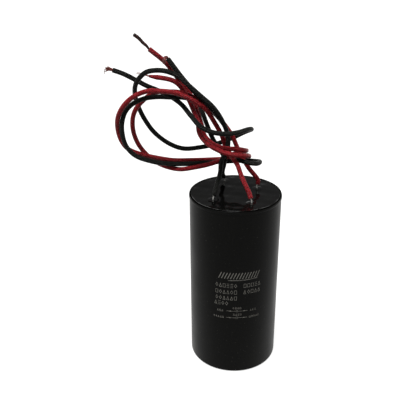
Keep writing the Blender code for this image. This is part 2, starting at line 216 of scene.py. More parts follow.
def ridgedPvc(finish):
    material, shader, patterns = startMaterial(finish)
    strands = finish["strands"]
    laid = addNode(material, "ShaderNodeTexCoord").outputs["UV"]
    skin = addNode(material, "ShaderNodeSeparateXYZ", Vector=laid)
    around = addNode(material, "ShaderNodeMath", {"operation": "MULTIPLY"}, i0=skin.outputs["X"], i1=strands)
    along = addNode(material, "ShaderNodeMath", {"operation": "MULTIPLY_ADD"}, i0=skin.outputs["Y"],
                    i1=strands * finish["girth"] / finish["lay"], i2=around.outputs[0])
    phase = addNode(material, "ShaderNodeMath", {"operation": "MULTIPLY"}, i0=along.outputs[0], i1=math.tau)
    ridges = addNode(material, "ShaderNodeMath", {"operation": "SINE"}, i0=phase.outputs[0])
    # the ridges' wave is added to the scuffs: a painted highlight on each crest, painted shade in each trough
    stain = addNode(material, "ShaderNodeMath", {"operation": "MULTIPLY_ADD"}, i0=ridges.outputs[0],
                    i1=finish["ridgeShading"], i2=patterns["scuffs"])
    patterns.update(ridges=ridges.outputs[0], stain=stain.outputs[0])
    finishMaterial(material, shader, patterns, finish)
    return material


# drawn copper, dulled by handling: warm metal with brown film in patches; one copy is made near black as
# painted shade
dulledCopper = {
    "sockets": {"Metallic": 0.7},
    "noises": {"film": (0.8, 3.0), "rub": (0.5, 3.0)},
    "roughness": ("rub", 0.42, 0.6),
}

# hot-dipped tin over the conductor: pale and frosty, so that it scatters the light from above
hotTin = {
    "name": "hotTin",
    "sockets": {"Metallic": 0.6},
    "noises": {"bloom": (0.7, 3.0), "frost": (0.4, 3.0), "dross": (0.5, 3.0)},
    "colour": ("bloom", "#b8b7b1", "#dad9d3"),
    "roughness": ("frost", 0.35, 0.5),
    "relief": (("dross", 0.03),),
}

# pad-printed ink: matt grey, in patches as the can's grain breaks it up
paleInk = {
    "name": "paleInk",
    "sockets": {"Specular IOR Level": 0.2},
    "noises": {"breaks": (0.5, 4.0), "chalk": (0.6, 3.0)},
    "colour": ("breaks", "#5a5854", "#8a8881"),
    "roughness": ("chalk", 0.6, 0.8),
}

# metallised film wound on a core: silver, with the edges of its turns as rings on the ends
woundFilm = {
    "name": "woundFilm",
    "sockets": {"Metallic": 0.6},
    "noises": {"cloud": (6.0, 3.0), "rub": (3.0, 3.0)},
    "colour": ("cloud", "#a9abad", "#cfd0d2"),
    "roughness": ("rub", 0.28, 0.42),
    "relief": (("rings", 0.02),),
    "turn": 0.5,      # mm from ring to ring: the real film is far thinner, and is drawn coarser to show
}


def ringedFilm(finish):
    material, shader, patterns = startMaterial(finish)
    where = addNode(material, "ShaderNodeTexCoord").outputs["Object"]
    spot = addNode(material, "ShaderNodeSeparateXYZ", Vector=where)
    flat = addNode(material, "ShaderNodeCombineXYZ", X=spot.outputs["X"], Y=spot.outputs["Y"])
    radius = addNode(material, "ShaderNodeVectorMath", {"operation": "LENGTH"}, i0=flat.outputs[0])
    turns = addNode(material, "ShaderNodeMath", {"operation": "MULTIPLY"}, i0=radius.outputs["Value"],
                    i1=math.tau / (finish["turn"] * mm))
    rings = addNode(material, "ShaderNodeMath", {"operation": "SINE"}, i0=turns.outputs[0])
    patterns["rings"] = rings.outputs[0]
    finishMaterial(material, shader, patterns, finish)
    return material


# flame-sprayed zinc: a dull crust of frozen droplets
sprayedZinc = {
    "name": "sprayedZinc",
    "sockets": {"Metallic": 0.8},
    "noises": {"drops": (0.35, 5.0)},
    "colour": ("drops", "#83868a", "#b4b6b8"),
    "roughness": ("drops", 0.6, 0.85),
    "relief": (("drops", 0.12),),
}

# natural moulded plastic of the parts that never show: milky and smooth
naturalPlastic = {
    "sockets": {"Specular IOR Level": 0.4},
    "noises": {"cloud": (5.0, 3.0), "haze": (2.0, 3.0), "grain": (0.5, 3.0)},
    "roughness": ("haze", 0.42, 0.55),
    "relief": (("grain", 0.01),),
}

canFinish = dustyPlastic(mouldedPolypropylene)
resinFinish = plainMaterial(castEpoxy)
leadFinish = {"black": ridgedPvc(blackPvc), "red": ridgedPvc(redPvc)}
redStrands, greyStrands, shadedStrands = [
    plainMaterial({**dulledCopper, "name": name, "colour": ("film", dark, light)})
    for name, dark, light in (
        ("redStrands", "#3a201d", "#8e4a42"),
        ("greyStrands", "#56302f", "#8c5552"),
        # the strands of the red back lead: the same copper made near black, as painted shade
        ("shadedStrands", "#191413", "#3f2522"),
    )
]
tinFinish = plainMaterial(hotTin)
inkFinish = plainMaterial(paleInk)
coreFinish, baseFinish, middleFinish = [
    plainMaterial({**naturalPlastic, "name": name, "colour": ("cloud", dark, light)})
    for name, dark, light in (
        ("corePlastic", "#d8d6cf", "#e6e4dd"),
        ("basePlastic", "#cfccc2", "#dedbd2"),
        ("middlePlastic", "#cfccc2", "#dedbd2"),
    )
]
hiddenFinish = {      # by how the node's name starts
    "winding": ringedFilm(woundFilm),
    "end_contact": plainMaterial(sprayedZinc),
    "core_tube": coreFinish,
    "base_spacer": baseFinish,
    "middle_spacer": middleFinish,
    "solder": tinFinish,
}
for name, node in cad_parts.items():
    for start, finish in hiddenFinish.items():
        if name.startswith(start):
            node.data.materials.clear()
            node.data.materials.append(finish)
print("materials made")


# the leads' routes, in millimetres from the centre of the mouth
leadRoutes = {
    "black_front": [
        (-12.2, -8.9, 1.9), (-11.5, -7.5, 4), (-10, -3.5, 7.5), (-8.5, -0.5, 12), (-8, 0, 18),
        (-6, -1, 23), (-4.5, -1.5, 28), (-5, -1.5, 34.5), (-8, -3.5, 42.5), (-12.5, -4.5, 49.5),
        (-19.5, -4.5, 56), (-25.5, -4.5, 61.5), (-30, -4, 65.5), (-36, -4, 68), (-41, -4, 68.5),
        (-46, -3.5, 67.5), (-49.5, -2, 64.5), (-52, 0.5, 60.5), (-53, 3.5, 55.5), (-52.5, 7, 49),
        (-49.5, 7.5, 41), (-44, 7.5, 32.5), (-36, 7.5, 26), (-28.5, 8, 23), (-19, 8.5, 23.5),
        (-10, 8.5, 25.5), (-1, 8.5, 29), (4.8, 7, 32.4), (8, 2, 35.5), (5.7, -4, 37.4), (0.5, -7.5, 37),
        (-6, -8.5, 36.5), (-13, -8.5, 37.5), (-19, -8.5, 40.5), (-24, -5.5, 45.5), (-29, 2, 49.5),
        (-34.5, 6, 52.5), (-41.2, 5.5, 56.1), (-47, 5, 58.7), (-52, 4.5, 61.6), (-58.2, 3.4, 65.2),
        (-63.6, 2.3, 67.5),
    ],
    "black_back": [
        (-5.6, 16.5, 2.3), (-6.5, 15.5, 5), (-6.5, 12.5, 8.5), (-6, 7, 14), (-6, 3.5, 19),
        (-8.5, 3.5, 23.5), (-12, 4, 29), (-15.5, 4, 37.5), (-18.5, 5.5, 45), (-23, 7, 50), (-28, 4, 52.5),
        (-34.5, 1, 53.5), (-41, 0, 54), (-47.5, -1, 53.5), (-53.8, -1, 50.8), (-57.8, -1, 46.8),
        (-59.95, -1.4, 41), (-60.05, -2.2, 34.5), (-58.5, -1, 27.5), (-54.3, -0.5, 22.3), (-46, 1, 18.3),
        (-37, 3.5, 15.8), (-27.5, 6.5, 14.5), (-17.5, 9, 14), (-6.5, 11, 14), (3.5, 9.5, 15),
        (9.5, 6.5, 16), (13, 1, 17.5), (10.5, -4.5, 18.5), (5.5, -5, 19.5), (0.5, -1.5, 20), (-3, 3, 21),
        (-4, 5, 24), (-4.5, 4, 29.5), (-5.5, 2, 36), (-9.5, -0.5, 43), (-15, -2, 50.5), (-22, -2, 57),
        (-28.5, -1, 64.5), (-35.2, 0.2, 73.4),
    ],
    "red_front": [
        (7.4, -13.9, 2.3), (6.5, -12.5, 5), (4.5, -11, 9), (2, -8.5, 14.5), (0.5, -7, 18.5),
        (-1.5, -4, 21), (-3.5, 0.5, 22.5), (-5.5, 2.5, 25.5), (-7.5, 1, 32), (-12, -1, 41),
        (-17, -3.5, 49), (-24, -4.5, 54), (-31, -4.5, 57), (-39, -4, 58), (-46, -4, 58),
        (-52.5, -4, 55.5), (-57.8, -4, 51.1), (-61.65, -2.2, 44.5), (-62.8, 0.9, 37), (-61.5, 1.4, 30.5),
        (-58.2, 2, 25.2), (-51.5, 3, 21.7), (-43.5, 4.5, 19.1), (-34.5, 7, 16.6), (-24.5, 10.5, 15.2),
        (-14.5, 13, 14.5), (-5, 14.5, 14.5), (2.5, 14, 16), (6.6, 10, 18), (7.1, 1.5, 20.4),
        (4, -4.5, 23), (-2, -8, 25), (-8.5, -8.5, 27), (-15.5, -7.5, 31), (-19.5, -6, 36),
        (-20.5, -4, 42), (-23, -1, 48), (-26.5, 1.5, 55), (-32, 1.5, 61.5), (-45.2, 2.3, 64.3),
    ],
    "red_back": [
        (12.7, 5.5, 2.6), (13, 5.5, 4.5), (12, 5.5, 6.5), (8, 5.5, 11.5), (4, 5.5, 18), (1, 6, 24),
        (-2, 5.5, 31), (-5.5, 5, 36.5), (-10, 3, 42.5), (-15.5, 1, 48.5), (-22, -0.5, 53.5),
        (-29, -1.5, 56.5), (-36, 0.5, 56.5), (-43, 3, 55.5), (-48.5, 4, 51.5), (-53, 4, 46.5),
        (-55, 4.5, 41), (-55, 4.5, 34), (-52.5, 5.5, 26), (-47.5, 6.5, 19), (-40.5, 6.5, 14),
        (-31, 5, 12), (-22.5, 5, 13), (-14, 6, 14.5), (-8, 8, 16), (-3, 10, 18), (1.8, 10.2, 19.5),
        (5.5, 6.3, 22), (4.6, -1.5, 25), (0, -5, 27), (-6.5, -5, 27.5), (-12.5, -4, 29.5), (-17, -3, 34),
        (-18.5, -2, 39.5), (-20, 0, 44), (-22, 3, 49), (-24.5, 4, 54.5), (-30, 4, 62), (-36.5, 2.5, 71),
        (-44.4, 1, 78.1),
    ],
}

lead = {
    "radius": 1.27 * mm,
    "step": 0.6 * mm,          # between rings of the tube
    "around": 24,
    "holeRadius": 0.6 * mm,    # where the strands leave the insulation
    "holeDepth": 0.9 * mm,
    "cutEdge": 0.1 * mm,
    "unevenShare": 0.012,
    "unevenEvery": 9 * mm,
    "unevenBeat": 2.3,         # radians that a second wave turns for each of the first
    "pulledThin": {"red_front": (4.2 * mm, 0.55)},      # over what length, and how much of the radius is left
}
crispFrom = 50      # degrees: a swept piece's edges stay crisp where it turns more sharply than this
finePerSpan = 24    # steps between two places of a route before it is divided evenly


# a smooth curve through all the places, with no overshoot where they lie unevenly, then spaced evenly
def smoothRoute(points, spacing):
    ends = [2 * points[0] - points[1]] + points + [2 * points[-1] - points[-2]]
    fine = []
    for a, b, c, d in zip(ends, ends[1:], ends[2:], ends[3:]):
        t1 = math.sqrt((b - a).length)
        t2 = t1 + math.sqrt((c - b).length)
        t3 = t2 + math.sqrt((d - c).length)
        for i in range(finePerSpan):
            t = t1 + (t2 - t1) * i / finePerSpan
            ab = a.lerp(b, t / t1)
            bc = b.lerp(c, (t - t1) / (t2 - t1))
            cd = c.lerp(d, (t - t2) / (t3 - t2))
            early = ab.lerp(bc, t / t2)
            late = bc.lerp(cd, (t - t1) / (t3 - t1))
            fine.append(early.lerp(late, (t - t1) / (t2 - t1)))
    track = makeTrack(fine + [points[-1]])
    count = max(2, round(track["length"] / spacing))
    return [trackAt(track, track["length"] * i / count)[0] for i in range(count + 1)]


# a path with its distances, its directions and a side that turns as little as it can
def makeTrack(points):
    travelled = [0.0]
    for a, b in zip(points, points[1:]):
        travelled.append(travelled[-1] + (b - a).length)
    last = len(points) - 1
    ahead = [(points[min(i + 1, last)] - points[max(i - 1, 0)]).normalized() for i in range(len(points))]
    sides = [ahead[0].orthogonal().normalized()]
    for before, after in zip(ahead, ahead[1:]):
        side = before.rotation_difference(after) @ sides[-1]
        sides.append((side - after * side.dot(after)).normalized())
    return {"points": points, "travelled": travelled, "ahead": ahead, "sides": sides, "length": travelled[-1]}


def trackAt(track, distance):
    travelled = track["travelled"]
    i = min(max(bisect.bisect_right(travelled, distance) - 1, 0), len(travelled) - 2)
    share = (distance - travelled[i]) / (travelled[i + 1] - travelled[i])
    place = track["points"][i] + (track["points"][i + 1] - track["points"][i]) * share
    share = min(max(share, 0), 1)
    ahead = track["ahead"][i].lerp(track["ahead"][i + 1], share).normalized()
    side = track["sides"][i].lerp(track["sides"][i + 1], share)
    side = (side - ahead * side.dot(ahead)).normalized()
    return place, ahead, side


# rings along a track, as a plan of (distance, radius) says: a twist draws fused strands on them
def sweep(shape, track, plan, around, twist=None):
    skin = shape.loops.layers.uv.verify()
    girth = math.tau * max(radius for distance, radius in plan)
    rings = []
    for distance, radius in plan:
        place, ahead, side = trackAt(track, distance)
        across = ahead.cross(side)
        ring = []
        for i in range(around):
            angle = math.tau * i / around
            reach = radius
            if twist:
                turned = twist["strands"] * angle + math.tau * distance / twist["pitch"]
                reach *= 1 + twist["share"] * math.cos(turned)
            ring.append(shape.verts.new(place + (side * math.cos(angle) + across * math.sin(angle)) * reach))
        rings.append(ring)
    for j in range(len(plan) - 1):
        for i in range(around):
            k = (i + 1) % around
            face = shape.faces.new((rings[j][i], rings[j][k], rings[j + 1][k], rings[j + 1][i]))
            face.smooth = True
            for loop, (u, v) in zip(face.loops, ((i, j), (i + 1, j), (i + 1, j + 1), (i, j + 1))):
                loop[skin].uv = (u / around, plan[v][0] / girth)
    shape.faces.new(list(reversed(rings[0])))
    shape.faces.new(rings[-1])


def sweptPiece(name, shape, material):
    bmesh.ops.recalc_face_normals(shape, faces=shape.faces)
    mesh = bpy.data.meshes.new(name)
    shape.to_mesh(mesh)
    shape.free()
    mesh.set_sharp_from_angle(angle=math.radians(crispFrom))
    mesh.materials.append(material)
    piece = bpy.data.objects.new(name, mesh)
    bpy.context.scene.collection.objects.link(piece)
    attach(piece, "root")
    return piece


def mouthPlaces(points):
    return [mouth + Vector(point) * mm for point in points]


# the tube's skin runs out of the lower hole, along the lead and into the hole at the stripped end
def addLead(name):
    path = smoothRoute(mouthPlaces(leadRoutes[name]), lead["step"])
    track = makeTrack(path)
    end, depth, edge, hole = track["length"], lead["holeDepth"], lead["cutEdge"], lead["holeRadius"]
    thinFor, left = lead["pulledThin"].get(name, (lead["step"], 1))
    plan = [(depth, hole), (0, hole), (0, lead["radius"] - edge), (edge, lead["radius"])]
    for i in range(1, len(path) - 1):
        distance = end * i / (len(path) - 1)
        wave = distance / lead["unevenEvery"]
        beat = math.sin(wave * lead["unevenBeat"])
        uneven = 1 + lead["unevenShare"] * (math.sin(math.tau * wave) + beat) / 2
        thinned = 1 - (1 - left) * max(0, 1 - (end - distance) / thinFor)
        plan.append((distance, lead["radius"] * uneven * thinned))
    last = lead["radius"] * left
    hole = min(hole, last - 2 * edge)
    plan += [(end - edge, last), (end, last - edge), (end, hole), (end - depth, hole)]
    shape = bmesh.new()
    sweep(shape, track, plan, lead["around"])
    colour = name.split("_")[0]
    piece = sweptPiece(f"insulation_{name}", shape, leadFinish[colour])
    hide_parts(f"lead_{name}")
    return piece, path


# the stripped ends: their places past the insulation, and how the strands lie. The strands and their
# distances are drawn "thick" times as large, open by "splay" towards the tips, stray by "curl" and make a
# turn round each other in "turn". The shortest one may have "shortest" of the full length
bareEnds = {
    "black_front": {
        "places": [(-64.6, 2.2, 67.9), (-66, 2.3, 68.2), (-67.3, 2.6, 68.1)],
        "thick": 1.55, "splay": 1.2, "curl": 0.3 * mm, "turn": 4 * mm, "finish": redStrands, "shortest": 0.75,
    },
    "black_back": {
        "places": [(-35.7, 0.2, 74), (-36.4, -0.5, 74), (-37, -1.2, 73), (-37, -1.7, 71.2)],
        "thick": 1.75, "splay": 0.35, "curl": 0.2 * mm, "turn": 6 * mm, "finish": greyStrands,
        "shortest": 0.85,
    },
    "red_front": {
        "places": [(-46.2, 2.6, 64.5), (-49.2, 3.6, 65.1), (-52.2, 4.3, 65.6)],
        "thick": 0.75, "splay": 0.7, "curl": 0.25 * mm, "turn": 7 * mm, "finish": redStrands, "shortest": 0.4,
    },
    "red_back": {
        "places": [(-45.6, 1, 79.6), (-47.4, 1.2, 81.2), (-49.4, 1.5, 83.3), (-52, 2, 85.2)],
        "thick": 1.8, "splay": 0.2, "curl": 0.1 * mm, "turn": 5 * mm, "finish": shadedStrands, "shortest": 0.93,
    },
}
strand = {
    "radius": 0.1 * mm,
    "layers": ((1, 0), (6, 0.2 * mm), (12, 0.39 * mm)),      # how many, and how far from the middle
    "around": 6,
    "points": 18,
    "rings": 22,
    "spacing": 0.2 * mm,       # of the route that they lie round
    "startShare": 0.8,         # how deep they begin in the insulation's hole, as a share of its depth
    "straightFor": 0.4,        # mm past the insulation
    "spread": 3,               # they are at their full distance after a third of their length
    "stray": 2,                # times the curl, at the tips
    "looseRadius": 0.15 * mm,
    "loose": [
        (-65.6, 2.3, 68.2), (-66.8, 2.4, 68.4), (-67.5, 2.3, 67.6), (-67.7, 2.2, 66.4), (-67.6, 2.1, 65.4),
    ],
}


def sweepStrand(shape, places, radius):
    track = makeTrack(places)
    plan = [(track["length"] * k / strand["rings"], radius) for k in range(strand["rings"] + 1)]
    sweep(shape, track, plan, strand["around"])


def addBareEnd(name, path):
    end = bareEnds[name]
    chance = random.Random(name)
    onward = (path[-1] - path[-2]).normalized()
    start = path[-1] - onward * lead["holeDepth"] * strand["startShare"]
    places = [start, path[-1] + onward * strand["straightFor"] * mm] + mouthPlaces(end["places"])
    core = makeTrack(smoothRoute(places, strand["spacing"]))
    shape = bmesh.new()
    for count, reach in strand["layers"]:
        for i in range(count):
            angle = math.tau * i / count
            share = chance.uniform(end["shortest"], 1)
            drift = Vector([chance.uniform(-1, 1) for axis in range(3)]) * end["curl"]
            places = []
            for k in range(strand["points"]):
                along = share * k / (strand["points"] - 1)
                place, ahead, side = trackAt(core, core["length"] * along)
                turned = angle + math.tau * core["length"] * along / end["turn"]
                out = side * math.cos(turned) + ahead.cross(side) * math.sin(turned)
                opened = 1 + (end["thick"] - 1) * min(1, along * strand["spread"])
                wide = reach * opened * (1 + end["splay"] * along ** 2)
                places.append(place + out * wide + drift * along ** 3 * strand["stray"])
            sweepStrand(shape, places, strand["radius"] * end["thick"])
    if name == "black_front":      # one strand has sprung out of the bundle and hangs down
        loose = smoothRoute(mouthPlaces(strand["loose"]), strand["spacing"])
        sweepStrand(shape, loose, strand["looseRadius"])
    piece = sweptPiece(f"strands_{name}", shape, end["finish"])
    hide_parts(f"bare_end_{name}")
    return piece


leadStart = {}
for name in leadRoutes:
    insulation, path = addLead(name)
    strands = addBareEnd(name, path)
    leadStart[name] = (path[0], (path[1] - path[0]).normalized())
    makeTrack(path)["length"]
print("leads laid")


# the tinned conductor of each lead, down through the resin to its solder joint
tail = {
    "radius": 0.34 * mm,
    "bend": 1.5 * mm,
    "bendSteps": 6,
    "intoLead": 0.7 * mm,
    "lean": 1.4 * mm,          # from the insulation's end to where it stands upright
    "entryDepth": 2.5 * mm,    # below the mouth, where it starts to slant outwards
    "shiftDepth": 7 * mm,      # and where it has reached its own place beside the windings
    "twist": {"strands": 7, "share": 0.09, "pitch": 7 * mm},      # share of the radius that it adds
    "around": 28,
    "step": 0.5 * mm,
    "pastSmall": 2.6 * mm,     # from the side of the smaller winding to the middle of the tail
    "pastLarge": 1.45 * mm,
    "hookIn": 5.3 * mm,        # from a winding's side to where the tail ends under it
    "overSmall": 8.4 * mm,     # from the can's axis to the tail that ends on the smaller winding
}
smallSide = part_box("winding_small")[1].x
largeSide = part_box("winding_large")[1].x
tailRuns = {      # how far out it goes down, and how far out its hook ends, if it has one
    "black_front": (smallSide + tail["pastSmall"], None),
    "black_back": (largeSide + tail["pastLarge"], largeSide - tail["hookIn"]),
    "red_front": (smallSide + tail["pastSmall"], smallSide - tail["hookIn"]),
    "red_back": (tail["overSmall"], None),
}


# each corner becomes an arc, as wide as the lengths beside it allow
def roundedPath(corners, radius, steps):
    path = [corners[0]]
    for before, corner, after in zip(corners, corners[1:], corners[2:]):
        back = (before - corner).normalized()
        on = (after - corner).normalized()
        half = back.angle(on) / 2
        reach = min(radius / math.tan(half), (before - corner).length / 2, (after - corner).length / 2)
        bend = reach * math.tan(half)
        if reach < nearEnough:
            path.append(corner)
            continue
        middle = corner + (back + on).normalized() * bend / math.sin(half)
        first = (corner + back * reach - middle).normalized()
        final = (corner + on * reach - middle).normalized()
        path += [middle + first.slerp(final, i / steps) * bend for i in range(steps + 1)]
    return path + [corners[-1]]


def addTail(name):
    start, onward = leadStart[name]
    downAt, hookAt = tailRuns[name]
    lean = start - onward * tail["lean"]
    outward = Vector((lean.x, lean.y, 0)).normalized()
    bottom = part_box(f"tail_{name}")[0].z + (tail["radius"] if hookAt else 0)
    low = Vector((0, 0, bottom))
    corners = [
        start + onward * tail["intoLead"], lean, Vector((lean.x, lean.y, mouth.z - tail["entryDepth"])),
        outward * downAt + Vector((0, 0, mouth.z - tail["shiftDepth"])), outward * downAt + low,
    ]
    if hookAt:
        corners.append(outward * hookAt + low)
    track = makeTrack(roundedPath(corners, tail["bend"], tail["bendSteps"]))
    count = round(track["length"] / tail["step"])
    plan = [(track["length"] * i / count, tail["radius"]) for i in range(count + 1)]
    shape = bmesh.new()
    sweep(shape, track, plan, tail["around"], tail["twist"])
    piece = sweptPiece(f"tinned_tail_{name}", shape, tinFinish)
    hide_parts(f"tail_{name}")
    return Vector((lean.x, lean.y))


feet = [addTail(name) for name in leadRoutes]
print("tails soldered in")


levelFrom = 0.9        # a face lies level where its normal's z is past this
uprightBelow = 0.5     # and stands upright where it is under this


# faces and edges are picked in edit mode, by their place and normal
def startEdit(piece):
    bpy.ops.object.select_all(action="DESELECT")
    bpy.context.view_layer.objects.active = piece
    piece.select_set(True)
    bpy.ops.object.mode_set(mode="EDIT")


def pickFaces(piece, test):
    bpy.ops.mesh.select_mode(type="FACE")
    bpy.ops.mesh.select_all(action="DESELECT")
    shape = bmesh.from_edit_mesh(piece.data)
    for face in shape.faces:
        face.select_set(test(face.calc_center_median(), face.normal))
    bmesh.update_edit_mesh(piece.data)


def pickEdges(piece, radius, height):
    bpy.ops.mesh.select_mode(type="EDGE")
    bpy.ops.mesh.select_all(action="DESELECT")
    shape = bmesh.from_edit_mesh(piece.data)
    for edge in shape.edges:
        aside = [math.hypot(v.co.x, v.co.y) - radius for v in edge.verts]
        above = [v.co.z - height for v in edge.verts]
        edge.select_set(max(map(abs, aside + above)) < nearEnough)
    bmesh.update_edit_mesh(piece.data)


def addDrum(name, radius, bottom, top, around):
    bpy.ops.object.select_all(action="DESELECT")
    bpy.ops.mesh.primitive_cylinder_add(vertices=around, radius=radius, depth=top - bottom,
                                        end_fill_type="NGON", location=(0, 0, (top + bottom) / 2))
    piece = bpy.context.object
    piece.name = name
    piece.data.name = name
    bpy.ops.object.transform_apply(location=True, rotation=True, scale=True)
    return piece


def finishPiece(piece, material, smoothAngle):
    bpy.ops.object.mode_set(mode="OBJECT")
    piece.data.materials.clear()
    piece.data.materials.append(material)
    bpy.ops.object.shade_smooth_by_angle(angle=math.radians(smoothAngle))
    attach(piece, "root")


# the cup, with a bead that stands a little proud round its mouth
can = {
    "around": 256,
    "wallRadius": canHigh.x - 0.25 * mm,
    "beadRadius": canHigh.x,
    "beadHeight": 1.8 * mm,
    "beadRound": 0.85 * mm,
    "beadUnder": 0.3 * mm,
    "bore": canHigh.x - 2 * mm,      # its radius
    "floor": 2 * mm,
    "baseRound": 1.5 * mm,
    "mouthChamfer": 0.8 * mm,
    "innerRound": 1.2 * mm,
    "segments": {"baseRound": 7, "beadRound": 6, "beadUnder": 3, "mouthChamfer": 1, "innerRound": 4},
    "crispFrom": 40,           # degrees
}


def addCan():
    top, low = canHigh.z, canLow.z
    piece = addDrum("moulded_can", can["wallRadius"], low, top, can["around"])
    startEdit(piece)
    bpy.ops.mesh.select_all(action="SELECT")
    ledge = top - can["beadHeight"]
    bpy.ops.mesh.bisect(plane_co=(0, 0, ledge), plane_no=(0, 0, 1))
    pickFaces(piece, lambda middle, normal: middle.z > ledge and abs(normal.z) < uprightBelow)
    bpy.ops.mesh.extrude_region_shrink_fatten(
        TRANSFORM_OT_shrink_fatten={"value": can["beadRadius"] - can["wallRadius"]})
    pickFaces(piece, lambda middle, normal: normal.z > levelFrom and middle.xy.length < can["bore"] / 2)
    bpy.ops.mesh.inset(thickness=can["wallRadius"] - can["bore"])
    bpy.ops.mesh.extrude_region_move(TRANSFORM_OT_translate={"value": (0, 0, can["floor"] - (top - low))})
    for edge, radius, height in (
        ("baseRound", can["wallRadius"], low),
        ("beadRound", can["beadRadius"], top),
        ("beadUnder", can["beadRadius"], ledge),
        ("mouthChamfer", can["bore"], top),
        ("innerRound", can["bore"], low + can["floor"]),
    ):
        pickEdges(piece, radius, height)
        bpy.ops.mesh.bevel(offset=can[edge], segments=can["segments"][edge], affect="EDGES")
    finishPiece(piece, canFinish, can["crispFrom"])
    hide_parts("can")


addCan()
print("can moulded")


# the casting: flush with the lip, drawn up round each wire and against the wall
resin = {
    "around": 256,
    "radius": can["bore"] + can["mouthChamfer"] - 0.03 * mm,      # it all but fills the mouth's chamfer
    "neck": can["bore"] - 0.02 * mm,       # and the bore
    "surface": canHigh.z - 0.12 * mm,
    "besideWinding": 0.3 * mm,     # from a winding's side to the resin
    "overWinding": 1.2 * mm,       # room for the contact on it, with a gap on both sides
    "ringSteps": (0.05, 0.06, 0.08, 0.1, 0.12, 0.15, 0.2, 0.25, 0.3),      # mm, closest by the wall
    "ringStep": 0.34 * mm,
    "innermost": 1.2 * mm,
    "wallRise": 0.08 * mm,
    "wallReach": 0.5 * mm,
    "creepRise": 0.25 * mm,        # up the wire itself
    "creepReach": 0.9 * mm,
    "collarRise": 0.12 * mm,       # the low round collar that a drop more of resin left at each wire
    "collarReach": 3.2 * mm,
    "collarEdge": 0.8 * mm,
    "waves": ((0.11, 15.0, 0.4), (0.05, 8.0, 1.9)),      # height and length in mm, turn in radians
    "waveBreadth": 1.6,            # times its length
    "crispFrom": 60,               # degrees
}


def resinHeight(x, y):
    spot = Vector((x, y))
    height = resin["surface"]
    for rise, length, turn in resin["waves"]:
        along = (x * math.cos(turn) + y * math.sin(turn)) / mm
        across = (y * math.cos(turn) - x * math.sin(turn)) / mm
        swell = math.cos(math.tau * across / length / resin["waveBreadth"])
        height += rise * mm * math.sin(math.tau * along / length + turn) * swell
    for foot in feet:
        apart = (spot - foot).length
        height += resin["creepRise"] * max(0, 1 - apart / resin["creepReach"]) ** 2
        inside = min(1, max(0, (resin["collarReach"] - apart) / resin["collarEdge"]))
        height += resin["collarRise"] * inside ** 2 * (3 - 2 * inside)
    wall = max(0, 1 - (resin["radius"] - spot.length) / resin["wallReach"])
    return height + resin["wallRise"] * wall ** 2


def addResin():
    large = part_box("winding_large")
    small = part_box("winding_small")
    step = large[1].z + resin["overWinding"]
    ceiling = small[1].z + resin["overWinding"]
    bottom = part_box("potting_resin")[0].z
    piece = addDrum("cast_resin", resin["radius"], bottom, resin["surface"], resin["around"])
    startEdit(piece)
    bpy.ops.mesh.select_all(action="SELECT")
    chamferFoot = canHigh.z - can["mouthChamfer"]
    bpy.ops.mesh.bisect(plane_co=(0, 0, chamferFoot), plane_no=(0, 0, 1))
    pickFaces(piece, lambda middle, normal: normal.z < -levelFrom)
    steps = (
        (resin["radius"] - large[1].x - resin["besideWinding"], step - bottom),
        (large[1].x - small[1].x, ceiling - step),
    )
    for thickness, rise in steps:
        bpy.ops.mesh.inset(thickness=thickness)
        bpy.ops.mesh.extrude_region_move(TRANSFORM_OT_translate={"value": (0, 0, rise)})
    pickFaces(piece, lambda middle, normal: normal.z > levelFrom and middle.z > ceiling)
    reach = resin["radius"]
    for thickness in resin["ringSteps"]:
        bpy.ops.mesh.inset(thickness=thickness * mm)
        reach -= thickness * mm
    while reach - resin["ringStep"] > resin["innermost"]:
        bpy.ops.mesh.inset(thickness=resin["ringStep"])
        reach -= resin["ringStep"]
    bpy.ops.mesh.poke()
    bpy.ops.object.mode_set(mode="OBJECT")
    for vertex in piece.data.vertices:
        outside = vertex.co.xy.length
        if vertex.co.z > resin["surface"] - nearEnough:
            vertex.co.z = resinHeight(vertex.co.x, vertex.co.y)
        elif outside > resin["neck"]:
            vertex.co.xy *= resin["neck"] / outside
    finishPiece(piece, resinFinish, resin["crispFrom"])
    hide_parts("potting_resin")


addResin()
print("resin cast")


